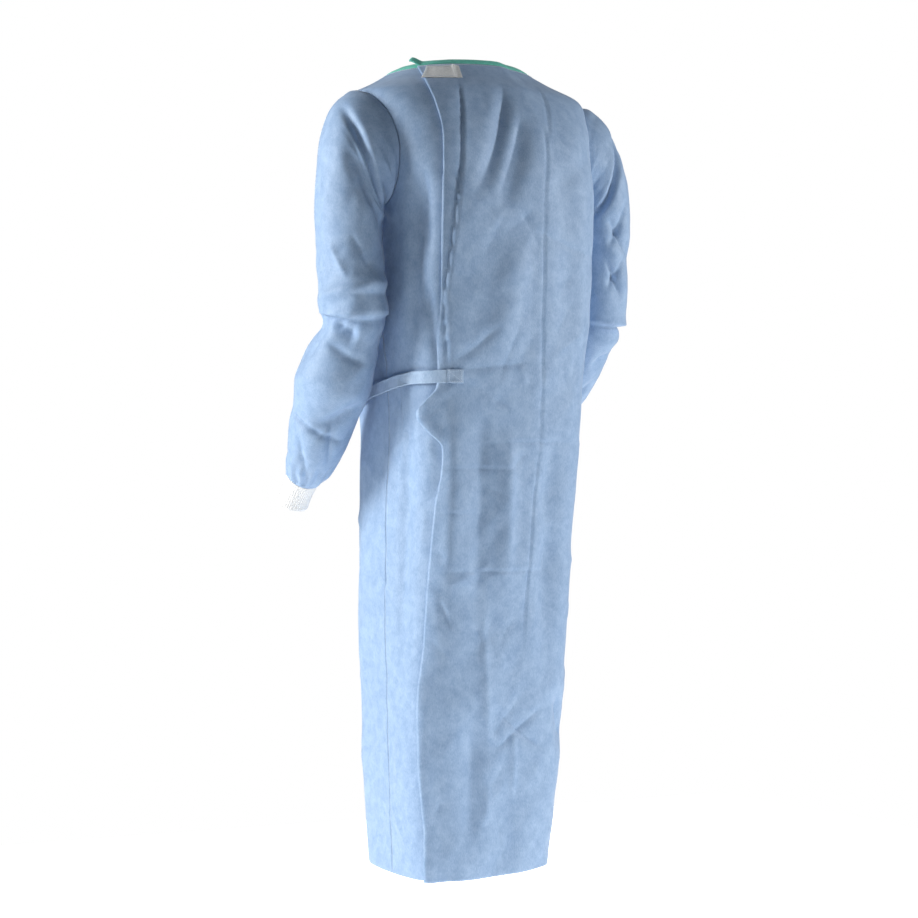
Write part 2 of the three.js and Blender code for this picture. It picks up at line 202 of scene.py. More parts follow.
FINE_FOLDS = [
    (58, -40, 56, -175, 5, 4.0, "step"),
    (57, -150, 52, -300, 5, 4.5, "step"),
    (53, -270, 48, -395, 5, 4.5, "step"),
    (48, -370, 50, -500, 5, 4.0, "step"),
    (127, -44, 112, -130, 5, 2.2, "step"),
    (112, -110, 105, -230, 4, 1.8, "step"),
    (106, -200, 104, -400, 4, 1.6, "step"),
    (104, -360, 106, -640, 4, 1.7, "step"),
    (106, -600, 101, -940, 4, 2.0, "step"),
    (92, -48, 62, -225, 7, 3.2, "sharp"),
    (98, -90, 74, -235, 8, 2.6, "sharp"),
    (39, -360, 45, -500, 6, 5.0, "sharp"),
    (38, -185, 40, -330, 6, 4.0, "sharp"),
    (50, -492, 78, -425, 7, 2.6, "sharp"),
    (56, -515, 84, -560, 7, 2.2, "sharp"),
    (50, -500, 96, -486, 5, 1.6, "sharp"),
    (60, -612, 132, -608, 3, 1.3, "step"),
    (46, -651, 100, -653, 3, 1.3, "step"),
    (46, -722, 72, -719, 3, 1.2, "step"),
    (44, -813, 134, -811, 3, 1.5, "step"),
    (48, -850, 54, -905, 4, 2.6, "sharp"),
    (72, -862, 79, -1110, 8, -3.2, "sharp"),
    (80, -1029, 118, -1102, 5, 3.0, "sharp"),
    (117, -1029, 84, -1098, 5, 2.6, "sharp"),
    (96, -1055, 98, -1180, 7, -3.0, "sharp"),
    (130, -1020, 142, -1090, 8, 5.0, "sharp"),
    (79, -1150, 77, -1215, 7, -3.0, "sharp"),
    (19, -515, 19, -612, 4, 2.2, "step"),
    (19, -600, 11, -790, 4, 2.2, "step"),
    (11, -770, 2, -860, 5, 2.0, "step"),
    (84, -590, 87, -820, 8, -2.5, "sharp"),
    (140, -130, 143, -430, 6, -2.0, "sharp"),
    (255, -170, 290, -300, 8, 3.0, "sharp"),
    (300, -200, 268, -330, 7, 2.6, "sharp"),
    (278, -560, 318, -500, 7, 3.0, "sharp"),
    (276, -600, 240, -540, 8, 2.6, "sharp"),
    (270, -620, 276, -960, 8, -3.0, "sharp"),
    (232, -700, 238, -1000, 8, -2.6, "sharp"),
    (310, -860, 306, -1180, 8, 3.0, "sharp"),
    (205, -620, 330, -618, 3, 1.3, "step"),
    (205, -815, 335, -813, 3, 1.4, "step"),
    (270, -60, 270, -1290, 3, 1.2, "step"),
    (160, -330, 185, -420, 7, 3.0, "sharp"),
    (352, -330, 330, -420, 7, 3.0, "sharp"),
]


def scattered(count, low, high):
    """Small unplanned crinkles all over, from a fixed seed."""
    rows = []
    for _ in range(count):
        angle, level = rng.uniform(0, 360), rng.uniform(low, high)
        lean, length = rng.uniform(-1, 1), rng.uniform(35, 130)
        depth = rng.uniform(0.8, 2.2) * rng.choice([-1, 1])
        reach = lean * length / MM_PER_DEGREE
        drop = -length * rng.uniform(0.25, 1)
        rows.append((angle, level, angle + reach, level + drop, rng.uniform(3, 7), depth, "sharp"))
    return rows


CRISP = 1.5  # every fine fold is this many times as deep as its row says
FINE_FOLDS = [(*row[:5], row[5] * CRISP, row[6]) for row in FINE_FOLDS]
BODY_FOLDS = MAIN_FOLDS + FINE_FOLDS + scattered(170, HEM + 60, -60)
print(len(BODY_FOLDS), "folds on the body")

# %% [markdown]
# Two functions give the body: one puts a point on the cloth's outer face, the other moves it
# straight out of the cloth. Whatever lies on a panel is made with a larger distance out, so the
# pieces can't cut through each other.

# %% Points on the body
def body_base(level, angle):
    level, angle = np.broadcast_arrays(np.asarray(level, float), np.asarray(angle, float))
    rise, a, b, x, y, n = (along(BODY, level, k) for k in range(1, 7))
    c, s = np.cos(np.radians(angle)), np.sin(np.radians(angle))
    radius = (np.abs(c / a) ** n + np.abs(s / b) ** n) ** (-1 / n)
    radius = radius - fold_depth(angle, level, BODY_FOLDS, MM_PER_DEGREE) * smooth(-level, 18, 60)
    calm = smooth(-level, 20, 90)
    radius = radius + calm * BIG_FACETS * facets(angle / 360 * 15, -level / 88 + angle / 360 * 3, 15, 3)
    radius = radius + calm * SMALL_FACETS * facets(angle / 360 * 36, -level / 34 + angle / 360 * 4, 36, 5)
    radius = radius + calm * HILLS * swell(angle / 360 * 12, -level / 120, 12, 8)
    lift = HEM_TILT * (1 - np.cos(np.radians(angle - 42))) * smooth(-level, 1000, -HEM)
    return np.stack([x + radius * c, y + radius * s, level + rise * s + lift], -1)


def body_point(level, angle, out):
    level, angle = np.broadcast_arrays(np.asarray(level, float), np.asarray(angle, float))
    down = body_base(level - 3, angle) - body_base(level + 3, angle)
    across = body_base(level, angle + 1) - body_base(level, angle - 1)
    normal = np.cross(down, across)
    normal /= np.linalg.norm(normal, axis=-1, keepdims=True)
    return body_base(level, angle) + normal * np.broadcast_to(out, level.shape)[..., None]


# %% [markdown]
# A shell joins an outer and an inner grid of points with a rim, so each piece is one closed wall
# with its faces pointing out. It also stores how far each point lies along and across the cloth
# as a UV map.

# %% Shells
def shell(name, outer, inner, closed, material, slot, node):
    rows, columns = outer.shape[:2]
    points = np.concatenate([outer.reshape(-1, 3), inner.reshape(-1, 3)]) * MM
    steps = columns if closed else columns - 1
    i, j = np.meshgrid(np.arange(rows - 1), np.arange(steps), indexing="ij")
    at = lambda side, r, c: side * rows * columns + r * columns + c % columns
    quads = [
        np.stack([at(0, i, j), at(0, i + 1, j), at(0, i + 1, j + 1), at(0, i, j + 1)], -1),
        np.stack([at(1, i, j), at(1, i, j + 1), at(1, i + 1, j + 1), at(1, i + 1, j)], -1),
    ]
    j = np.arange(steps)
    last = rows - 1
    quads.append(np.stack([at(0, 0, j), at(0, 0, j + 1), at(1, 0, j + 1), at(1, 0, j)], -1))
    quads.append(np.stack([at(0, last, j), at(1, last, j), at(1, last, j + 1), at(0, last, j + 1)], -1))
    if not closed:
        i, end = np.arange(rows - 1), columns - 1
        quads.append(np.stack([at(0, i, 0), at(1, i, 0), at(1, i + 1, 0), at(0, i + 1, 0)], -1))
        quads.append(np.stack([at(0, i, end), at(0, i + 1, end), at(1, i + 1, end), at(1, i, end)], -1))
    quads = np.concatenate([q.reshape(-1, 4) for q in quads])
    p, q, r, t = (points[quads[:, k]] for k in range(4))
    volume = (p * np.cross(q, r)).sum() + (p * np.cross(r, t)).sum()
    if volume < 0:
        quads = quads[:, ::-1]
    mesh = bpy.data.meshes.new(name)
    mesh.from_pydata(points.tolist(), [], quads.tolist())
    mesh.shade_smooth()
    uv = mesh.uv_layers.new(name="cloth")
    corner = np.zeros(len(mesh.loops), int)
    mesh.loops.foreach_get("vertex_index", corner)
    corner = corner % (rows * columns)
    places = np.stack([(corner % columns) / steps, (corner // columns) / last], -1)
    uv.data.foreach_set("uv", places.ravel())
    return piece(name, mesh, material, slot, node)


def piece(name, mesh, material, slot, *nodes):
    o = bpy.data.objects.new(name, mesh)
    bpy.context.collection.objects.link(o)
    mesh.materials.clear()
    mesh.materials.append(material)
    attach(o, "root")
    if nodes:
        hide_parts(*nodes)
    print(name, len(mesh.polygons), "faces")
    return o


# %% [markdown]
# Spunbond cloth is a mat of fine fibres, pressed together at rows of tiny points. Close to, it is
# a little cloudy and streaked; further off it is matt with a soft sheen. One node group makes the
# cloudiness and the relief, and every cloth material uses it with its own values.

# %% The fibre group
def fibre_group():
    group = bpy.data.node_groups.new("nonwoven_fibres", "ShaderNodeTree")
    for name, value in (("Cloud size", 60.0), ("Fibre size", 900.0), ("Points", 520.0)):
        socket = group.interface.new_socket(name, in_out="INPUT", socket_type="NodeSocketFloat")
        socket.default_value = value
    group.interface.new_socket("Mottle", in_out="OUTPUT", socket_type="NodeSocketFloat")
    group.interface.new_socket("Relief", in_out="OUTPUT", socket_type="NodeSocketFloat")
    n, link = group.nodes, group.links.new
    inputs, outputs = n.new("NodeGroupInput"), n.new("NodeGroupOutput")
    place = n.new("ShaderNodeTexCoord")

    def noise(size, detail, rough, stretch=None):
        tex = n.new("ShaderNodeTexNoise")
        tex.inputs["Detail"].default_value = detail
        tex.inputs["Roughness"].default_value = rough
        link(inputs.outputs[size], tex.inputs["Scale"])
        source = place.outputs["Object"]
        if stretch:
            turn = n.new("ShaderNodeMapping")
            turn.inputs["Scale"].default_value = stretch
            link(source, turn.inputs["Vector"])
            source = turn.outputs["Vector"]
        link(source, tex.inputs["Vector"])
        return tex.outputs["Fac"]

    def mixed(a, b, share):
        mix = n.new("ShaderNodeMix")
        mix.inputs["Factor"].default_value = share
        link(a, mix.inputs["A"])
        link(b, mix.inputs["B"])
        return mix.outputs["Result"]

    clouds = noise("Cloud size", 5.0, 0.65)
    streaks = noise("Fibre size", 2.0, 0.6, (1.0, 1.0, 0.25))
    link(mixed(clouds, streaks, 0.45), outputs.inputs["Mottle"])
    dots = n.new("ShaderNodeTexVoronoi")
    link(place.outputs["Object"], dots.inputs["Vector"])
    link(inputs.outputs["Points"], dots.inputs["Scale"])
    link(mixed(streaks, dots.outputs["Distance"], 0.4), outputs.inputs["Relief"])
    return group


FIBRES = fibre_group()


def cloth_material(name, dark, light, rough, sheen, relief, sizes=(60.0, 900.0, 520.0)):
    mat = bpy.data.materials.new(name)
    mat.use_nodes = True
    n, link = mat.node_tree.nodes, mat.node_tree.links.new
    shader = n["Principled BSDF"]
    shader.inputs["Sheen Weight"].default_value = sheen
    shader.inputs["Sheen Roughness"].default_value = 0.4
    shader.inputs["Specular IOR Level"].default_value = 0.35
    fibres = n.new("ShaderNodeGroup")
    fibres.node_tree = FIBRES
    for socket, value in zip(("Cloud size", "Fibre size", "Points"), sizes):
        fibres.inputs[socket].default_value = value
    tint = n.new("ShaderNodeValToRGB")
    tint.color_ramp.elements[0].position, tint.color_ramp.elements[0].color = 0.37, (*dark, 1)
    tint.color_ramp.elements[1].position, tint.color_ramp.elements[1].color = 0.63, (*light, 1)
    link(fibres.outputs["Mottle"], tint.inputs["Fac"])
    link(tint.outputs["Color"], shader.inputs["Base Color"])
    matt = n.new("ShaderNodeMapRange")
    matt.inputs["To Min"].default_value = rough - 0.08
    matt.inputs["To Max"].default_value = rough + 0.08
    link(fibres.outputs["Mottle"], matt.inputs["Value"])
    link(matt.outputs["Result"], shader.inputs["Roughness"])
    bump = n.new("ShaderNodeBump")
    bump.inputs["Strength"].default_value = relief
    bump.inputs["Distance"].default_value = 0.0006
    link(fibres.outputs["Relief"], bump.inputs["Height"])
    link(bump.outputs["Normal"], shader.inputs["Normal"])
    return mat


# %% [markdown]
# Six finishes share that group. The gown's blue leans a little to green, the ties are a lighter
# shade of it, the tape is a clear green, and the knit, the hook tape and the thread are pale.

# %% Finishes of the cloth and tapes
GOWN = cloth_material("gown_nonwoven", (0.235, 0.36, 0.56), (0.36, 0.50, 0.70), 0.58, 0.2, 0.5)
TIE = cloth_material("tie_nonwoven", (0.30, 0.43, 0.62), (0.46, 0.60, 0.78), 0.6, 0.25, 0.35)
TAPE = cloth_material("neck_tape", (0.10, 0.50, 0.40), (0.19, 0.68, 0.56), 0.6, 0.2, 0.5,
                      (150.0, 1400.0, 1100.0))
HOOKS = cloth_material("hook_and_loop", (0.66, 0.68, 0.68), (0.84, 0.86, 0.86), 0.7, 0.4, 0.9,
                       (300.0, 1500.0, 900.0))
KNIT = cloth_material("rib_knit", (0.80, 0.80, 0.79), (0.90, 0.90, 0.89), 0.8, 0.5, 0.6,
                      (400.0, 1600.0, 1300.0))
THREAD = cloth_material("sewing_thread", (0.62, 0.72, 0.86), (0.74, 0.82, 0.92), 0.6, 0.2, 0.2,
                        (900.0, 3000.0, 2000.0))
print("materials:", [m.name for m in (GOWN, TIE, TAPE, HOOKS, KNIT, THREAD)])

# %% [markdown]
# Each panel is a grid of levels and angles. Beside an armhole the panel's edge follows an oval, so
# the levels there are spaced as the oval's own points are, and the sleeve's first ring meets them.
# The free edge of the right back panel isn't sewn down: below the tie it lifts like a leaf, and
# near the hem it stands away a little.

# %% Panels of the body
ARMHOLE_STEPS = 56
armhole_middle = (ARMHOLE_TOP + ARMHOLE_BOTTOM) / 2
armhole_reach = (ARMHOLE_TOP - ARMHOLE_BOTTOM) / 2
armhole_levels = armhole_middle + armhole_reach * np.cos(np.linspace(0, np.pi, ARMHOLE_STEPS + 1))
LEVELS = np.concatenate([
    np.linspace(NECK, ARMHOLE_TOP, 14)[:-1], armhole_levels, np.linspace(ARMHOLE_BOTTOM, HEM, 305)[1:],
])
SEAM = 0.08  # half a side seam's gap, in degrees
EDGE_LIFTS = [  # level, half length, lift of the free edge
    (-560, 34, 13), (-1010, 50, 9), (-1140, 80, 12), (-1290, 60, 14), (-250, 90, 2.5), (-720, 60, 4),
]


def armhole_half(level):
    part = 1 - ((level - armhole_middle) / armhole_reach) ** 2
    return ARMHOLE_HALF * np.sqrt(np.clip(part, 0, None))


def lap_rise(angle):
    return LAP * (1 - smooth(angle, LAP_FULL, LAP_START))


def edge_lift(level, angle):
    lift = sum(up * np.exp(-(((level - mid) / half) ** 2)) for mid, half, up in EDGE_LIFTS)
    away = np.clip(angle - free_edge(level), 0, None)
    return lift * np.exp(-((away / 5.5) ** 2))


def body_cloth(name, start, end, columns, out):
    """A panel between two edges, each given as an angle for every level."""
    level = np.repeat(LEVELS[:, None], columns + 1, 1)
    share = np.linspace(0, 1, columns + 1)[None]
    angle = start(LEVELS)[:, None] * (1 - share) + end(LEVELS)[:, None] * share
    height = out(level, angle)
    outer, inner = body_point(level, angle, height), body_point(level, angle, height - WALL)
    return shell(name + "_cloth", outer, inner, False, GOWN, "gown_cloth", name)


side = lambda z: SIDE + armhole_half(z) + SEAM
front_start, front_end = lambda z: 2 * SIDE - side(z), lambda z: side(z) - 180 - 2 * SIDE
on_body = lambda z, a: 0 * z
front = body_cloth("front_panel", front_start, front_end, 120, on_body)
back_left = body_cloth("back_panel_left", side, lambda z: UNDER_EDGE + 0 * z, 70, on_body)
back_right = body_cloth("back_panel_right", free_edge, lambda z: 180 - side(z), 110,
                        lambda z, a: lap_rise(a) + edge_lift(z, a))

# %% [markdown]
# A sleeve is a tube along the arm. Its first rings run out of the armhole and bend down over the
# shoulder, then square sections follow the upper arm, the elbow and the forearm. Cloth piles up
# above a bent elbow and hangs over it as a step, and the wrist is gathered into its cuff.

# %% Sleeve sections and folds
LEFT_ARM = [  # x from the middle, y, level, half across, half along
    (232, 22, -268, 50, 62), (231, 22, -330, 49, 60), (229, 27, -385, 48, 60), (228, 29, -412, 50, 61),
    (229, 20, -438, 46, 51), (231, 2, -470, 51, 58), (235, -24, -512, 58, 68), (237, -50, -560, 52, 57),
    (239, -76, -606, 48, 53), (240, -103, -645, 38, 41), (241, -122, -668, 27, 28),
]
RIGHT_ARM = [
    (232, 20, -268, 50, 62), (232, 16, -335, 49, 60), (231, 10, -390, 49, 58), (230, 2, -422, 52, 59),
    (229, -18, -448, 47, 52), (227, -52, -482, 52, 54), (225, -96, -522, 52, 53), (222, -142, -562, 44, 46),
    (220, -172, -588, 34, 36), (219, -188, -602, 27, 28),
]
LEFT_FOLDS = [  # turn round the arm, reach down it, to turn, to reach, width, depth, kind
    (14, -130, 150, -45, 9, 6.5, "soft"),
    (40, -80, 120, -22, 13, 6.0, "soft"),
    (30, -100, 140, -30, 4, 2.5, "sharp"),
    (112, -34, 150, 36, 9, 6.0, "sharp"),
    (-40, 120, 160, 98, 12, -4.5, "soft"),
    (160, 143, -30, 148, 13, 8.0, "step"),
    (15, 158, 75, 166, 8, 7.0, "sharp"),
    (15, 186, 105, 198, 8, 4.0, "sharp"),
    (120, 268, 40, 332, 11, 5.0, "soft"),
    (-25, 322, 112, 342, 4, 3.2, "sharp"),
    (138, 250, 150, 410, 3, 2.2, "sharp"),
    (200, 150, 330, 175, 10, 6.0, "sharp"),
    (190, 190, 320, 160, 9, 5.0, "sharp"),
    (220, -60, 300, 20, 9, 4.0, "sharp"),
    (250, 250, 200, 340, 9, 4.0, "sharp"),
    (60, 20, 96, 84, 7, 2.4, "sharp"),
    (20, 30, 52, 96, 7, -2.2, "sharp"),
    (70, 300, 95, 385, 6, 3.0, "sharp"),
    (20, 350, 60, 420, 6, 2.6, "sharp"),
]
RIGHT_FOLDS = [
    (20, -120, 140, -50, 9, 6.0, "soft"),
    (60, -40, 110, 20, 6, 4.5, "sharp"),
    (110, -30, 64, 30, 6, 4.5, "sharp"),
    (60, 30, 108, 86, 6, 4.0, "sharp"),
    (112, 40, 70, 100, 6, 3.5, "sharp"),
    (160, 138, -30, 142, 12, 7.5, "step"),
    (20, 170, 100, 186, 8, 5.0, "sharp"),
    (200, 140, 330, 170, 10, 6.0, "sharp"),
    (190, 190, 320, 152, 9, 5.0, "sharp"),
    (70, 220, 110, 320, 9, 4.5, "sharp"),
    (30, 260, 60, 350, 7, 3.5, "sharp"),
    (250, 220, 210, 310, 9, 4.0, "sharp"),
    (-20, 300, 100, 315, 4, 3.0, "sharp"),
]
TURN_MM = 0.96  # millimetres round a sleeve for each degree
CAP_RINGS, ARM_RINGS, CAP_REACH = 60, 150, 200
ARMHOLE_FIT = 0.996  # size of a sleeve's first ring, as a share of the armhole
SLEEVE_CRISP, SLEEVE_FACETS, SLEEVE_CRINKLES, GATHERS = 1.9, 3.2, 1.2, 1.7


def arm_at(arm, reach_table, reach):
    rows = [(s, *row) for s, row in zip(reach_table, arm)]
    return [along(rows, reach, k) for k in range(1, 6)]


def arm_reach(arm):
    centres = np.array([row[:3] for row in arm], float)
    return np.concatenate([[0], np.cumsum(np.linalg.norm(np.diff(centres, axis=0), axis=1))])


def arm_rings(arm, reach, turn):
    """Rings of points square to the arm's middle line."""
    table = arm_reach(arm)
    x, y, z, across, half = arm_at(arm, table, reach)
    before, after = arm_at(arm, table, reach - 5), arm_at(arm, table, reach + 5)
    direction = np.stack([after[k] - before[k] for k in range(3)], -1)
    direction /= np.linalg.norm(direction, axis=-1, keepdims=True)
    outward = np.array([1.0, 0, 0]) - direction * direction[..., :1]
    outward /= np.linalg.norm(outward, axis=-1, keepdims=True)
    backward = np.cross(outward, direction)
    c, s = np.cos(turn)[None, :, None], np.sin(turn)[None, :, None]
    centre = np.stack([x, y, z], -1)[:, None]
    across, half = across[:, None, None], half[:, None, None]
    return centre + outward[:, None] * across * c + backward[:, None] * half * s


def wall_normals(grid):
    """Directions out of a tube's wall, one for each point of its grid."""
    rows = np.gradient(grid, axis=0)
    columns = np.roll(grid, -1, 1) - np.roll(grid, 1, 1)
    normal = np.cross(rows, columns)
    normal /= np.linalg.norm(normal, axis=-1, keepdims=True) + 1e-9
    middle = grid.mean(axis=1, keepdims=True)
    sign = np.sign((normal * (grid - middle)).sum(-1).mean())
    return normal * sign


def sleeve(name, mirror, arm, folds, seed):
    turn = np.linspace(0, 2 * np.pi, 2 * ARMHOLE_STEPS, endpoint=False)
    total = arm_reach(arm)[-1]
    top = arm_rings(arm, np.array([0.0]), turn)[0]
    level = armhole_middle + armhole_reach * ARMHOLE_FIT * np.cos(turn)
    angle = SIDE + ARMHOLE_HALF * ARMHOLE_FIT * np.sin(turn)
    start = body_point(level, angle if mirror > 0 else 180 - angle, 0)
    start[:, 0] *= mirror
    corner = np.stack([top[:, 0], (start[:, 1] + top[:, 1]) / 2, start[:, 2]], -1)
    t = (np.arange(CAP_RINGS) / CAP_RINGS)[:, None, None]
    cap = (1 - t) ** 2 * start + 2 * t * (1 - t) * corner + t ** 2 * top
    reach = np.linspace(0, total, ARM_RINGS + 1)
    rings = np.concatenate([cap, arm_rings(arm, reach, turn)])
    place = np.concatenate([-CAP_REACH * (1 - np.arange(CAP_RINGS) / CAP_RINGS), reach])
    degrees, down = np.meshgrid(np.degrees(turn), place)
    depth = fold_depth(degrees, down, folds, TURN_MM)
    depth = depth * SLEEVE_CRISP - SLEEVE_FACETS * facets(degrees / 60, down / 52 + degrees / 120, 6, seed)
    depth -= SLEEVE_CRINKLES * facets(degrees / 24, down / 22 + degrees / 120, 15, seed + 1)
    gather = smooth(down, total - 75, total - 8)
    depth += gather * GATHERS * np.sin(np.radians(degrees) * 13 + 0.8 * np.sin(down / 9))
    calm = smooth(down, -CAP_REACH, 20 - CAP_REACH) * (1 - smooth(down, total - 5, total))
    rings = rings - wall_normals(rings) * (depth * calm)[..., None]
    inner = rings - wall_normals(rings) * WALL
    rings[..., 0] *= mirror
    inner[..., 0] *= mirror
    return shell(name + "_cloth", rings, inner, True, GOWN, "gown_cloth", name)


sleeve_left = sleeve("sleeve_left", 1, LEFT_ARM, LEFT_FOLDS, 21)
sleeve_right = sleeve("sleeve_right", -1, RIGHT_ARM, RIGHT_FOLDS, 31)

# %% [markdown]
# The cuffs are short tubes of rib knit. Ribs run along the arm, so the ring itself is waved: that
# way the ribs catch the light at the edge too, which bump alone can't do.

# %% Cuffs
CUFF_LENGTH, CUFF_START, CUFF_HALF, CUFF_RIBS, CUFF_WALL = 52, 27.4, 25, 44, 1.5


def cuff(name, mirror, arm):
    turn = np.linspace(0, 2 * np.pi, CUFF_RIBS * 6, endpoint=False)
    total = arm_reach(arm)[-1]
    ends = arm_rings(arm, np.array([total - 4, total]), turn)
    centres = ends.mean(axis=1)
    direction = (centres[1] - centres[0]) / np.linalg.norm(centres[1] - centres[0])
    reach = np.linspace(0.4, CUFF_LENGTH, 34)[:, None, None]
    spoke = ends[1] - centres[1]
    spoke /= np.linalg.norm(spoke, axis=-1, keepdims=True)
    share = reach / CUFF_LENGTH
    radius = CUFF_START * (1 - share) + CUFF_HALF * share - 1.6 * np.sin(np.pi * share)
    ribs = 0.45 * np.cos(turn * CUFF_RIBS)[None, :, None]
    uneven = 0.6 * np.sin(3 * turn)[None, :, None] * share
    radius = radius + ribs + uneven
    outer = centres[1] + direction * reach + spoke[None] * radius
    inner = centres[1] + direction * reach + spoke[None] * (radius - CUFF_WALL)
    outer[..., 0] *= mirror
    inner[..., 0] *= mirror
    made = shell(name + "_knit", outer, inner, True, KNIT, "knit_cuff", name)
    return made


cuffs = [cuff("cuff_left", 1, LEFT_ARM), cuff("cuff_right", -1, RIGHT_ARM)]

# %% [markdown]
# A folded green tape binds the neck. It starts under the lap, goes round the front and over
# itself, and its sewn end sticks up past the free edge. The tape is rounded across its width.

# %% Neck binding
def neck_binding():
    rows = 9
    turn = np.linspace(UNDER_EDGE, free_edge(np.array([BINDING_TOP]))[0] - 363, 420)
    level, angle = np.meshgrid(np.linspace(BINDING_TOP, NECK + 0.5, rows), turn, indexing="ij")
    across = np.linspace(-1, 1, rows)[:, None]
    lapped = np.where(angle < -180, lap_rise(angle + 360), 0)
    tip = smooth(-angle, -turn[-1] - 9, -turn[-1])
    round_off = 1.1 * np.sqrt(1 - 0.85 * across ** 2)
    ripple = 0.35 * swell((angle + 720) / 9, across + 4, 120, 44)
    outer = body_point(level, angle, lapped + round_off + ripple + 5 * tip)
    inner = body_point(level, angle, lapped - 1.4 + 5 * tip)
    outer[..., 2] += 4.5 * tip
    inner[..., 2] += 4.5 * tip
    made = shell("neck_binding_tape", outer, inner, False, TAPE, "neck_binding", "neck_binding")
    return made


binding = neck_binding()

# %% [markdown]
# The neck closes with a strip of hook-and-loop tape under the binding. It has been bent while it
# was opened, so it keeps one upright crease with a small peak.

# %% Closure tab
TAB_TOP, TAB_BOTTOM, TAB_START, TAB_END = -22, -44, 35, 60


def flat_strip(name, level, angle, out, wall, material, slot):
    outer, inner = body_point(level, angle, out), body_point(level, angle, out - wall)
    return shell(name, outer, inner, False, material, slot, name.rsplit("_", 1)[0])


share, down = np.meshgrid(np.linspace(0, 1, 90), np.linspace(0, 1, 34))
tab_angle = TAB_START + (TAB_END - TAB_START) * share
tab_level = TAB_TOP + (TAB_BOTTOM - TAB_TOP) * down
tab_crease = 2.6 * np.exp(-np.abs(share - 0.8) / 0.05) * (1 - 0.5 * down)
tab_bend = tab_crease + 0.5 * swell(share * 6, down * 3, 12, 9)
tab_out = LAP + 1.6 + tab_bend
tab = flat_strip("closure_tab_tape", tab_level, tab_angle, tab_out, 1.0, HOOKS, "closure_tab")

# %% [markdown]
# The waist tie is a strip of the gown's own cloth, folded and pressed. It is sewn to the right
# back panel inside a stitched box, runs round the wearer's left side and is knotted in front with
# a second, shorter tie. Strips are thin walls along a route of levels by angle.

# %% Ties
ROUTE = [(-90, -582), (-78, -578), (-45, -552), (0, -524), (28, -512), (48.5, BELT)]
BELT_HALF, OVER_RIGHT = 10, LAP + 2.6
KNOT_ANGLE, KNOT_LEVEL = -82, -580
KNOT_WIDE, KNOT_DEEP, KNOT_TALL = 15, 7.5, 13
TAIL_TOP, TAIL_HALF = -593, 3.8  # where both tails start, and half their width in degrees


def strip(name, route, half, steps, out, slot="tie_cloth"):
    turn = np.linspace(route[0][0], route[-1][0], steps)
    height, angle = np.meshgrid(np.linspace(half, -half, 15), turn, indexing="ij")
    level = along(route, angle, 1) + height
    fold = 0.5 * np.exp(-((np.abs(height) - half + 1.5) / 1.2) ** 2)
    slack = 0.7 * facets((angle + 720) / 7, height / 9 + 5, 90, 60)
    slack = slack + 0.9 * swell((angle + 720) / 14, height / 20 + 5, 90, 61)
    return flat_strip(name, level, angle, out + fold + slack * 0.8, 0.8, TIE, slot)


belt = strip("waist_tie_strip", ROUTE, BELT_HALF, 420, OVER_RIGHT)
patch = strip("tie_patch_strip", [(48.7, BELT), (56, BELT)], 11, 40, OVER_RIGHT)
front_tie = strip("front_tie_strip", [(-116, -586), (-86.6, -580)], BELT_HALF, 90, 2.4)


def tail(name, start, end, length, seed):
    level = np.linspace(TAIL_TOP, KNOT_LEVEL - length, 90)
    part = (KNOT_LEVEL - level) / length
    width = np.linspace(-TAIL_HALF, TAIL_HALF, 13)
    angle = (start + (end - start) * part)[:, None] + width[None]
    level = level[:, None] + 0 * width[None]
    curl = 2.2 * np.sin(part * 9 + seed)[:, None] * (width / TAIL_HALF)[None] * part[:, None]
    out = OVER_RIGHT - 1 + curl + 1.4 * np.sin(part * 7)[:, None]
    made = flat_strip(name, level, angle, out, 0.8, TIE, "tie_cloth")
    return made


tails = [
    tail("tie_tail_left_strip", -77, -71, 215, 1), tail("tie_tail_right_strip", -87, -93, 180, 3),
]

# %% [markdown]
# The knot is a rounded lump whose radius swells where the band goes over it. Each end closes in
# a fan of triangles round one point.

# %% The knot
def knot():
    """A half hitch: a rounded lump with the band that goes over it."""
    u, v = np.meshgrid(np.linspace(0, 2 * np.pi, 72, endpoint=False), np.linspace(0, np.pi, 41))
    band = np.exp(-(((np.cos(v) * 0.8 + np.sin(v) * np.cos(u) * 0.6) / 0.34) ** 2))
    wrinkle = 0.05 * np.sin(9 * u + 5 * v) * np.sin(v)
    size = 0.84 + 0.16 * band + wrinkle
    local = np.stack([
        KNOT_WIDE * np.sin(v) * np.cos(u), KNOT_DEEP * np.sin(v) * np.sin(u), KNOT_TALL * np.cos(v),
    ], -1)
    local *= size[..., None]
    seat = body_point(KNOT_LEVEL, KNOT_ANGLE, OVER_RIGHT + 0.6)
    out = body_point(KNOT_LEVEL, KNOT_ANGLE, OVER_RIGHT + 10) - seat
    out /= np.linalg.norm(out)
    sideways = np.cross(out, [0, 0, 1.0])
    sideways /= np.linalg.norm(sideways)
    up = np.cross(sideways, out)
    points = seat + out * KNOT_DEEP
    points = points + local[..., :1] * sideways + local[..., 1:2] * out + local[..., 2:] * up
    rows, columns = points.shape[:2]
    vertices = [points[0, 0]] + list(points[1:-1].reshape(-1, 3)) + [points[-1, 0]]
    at = lambda r, c: 1 + (r - 1) * columns + c % columns
    faces = [(0, at(1, c + 1), at(1, c)) for c in range(columns)]
    for r in range(1, rows - 2):
        faces += [(at(r, c), at(r, c + 1), at(r + 1, c + 1), at(r + 1, c)) for c in range(columns)]
    end = len(vertices) - 1
    faces += [(end, at(rows - 2, c), at(rows - 2, c + 1)) for c in range(columns)]
    mesh = bpy.data.meshes.new("tie_knot_hitch")
    mesh.from_pydata([tuple(p * MM) for p in np.array(vertices)], [], faces)
    bm = bmesh.new()
    bm.from_mesh(mesh)
    bmesh.ops.recalc_face_normals(bm, faces=bm.faces)
    bm.to_mesh(mesh)
    bm.free()
    mesh.shade_smooth()
    return piece("tie_knot_hitch", mesh, TIE, "tie_cloth", "tie_knot")


knot()
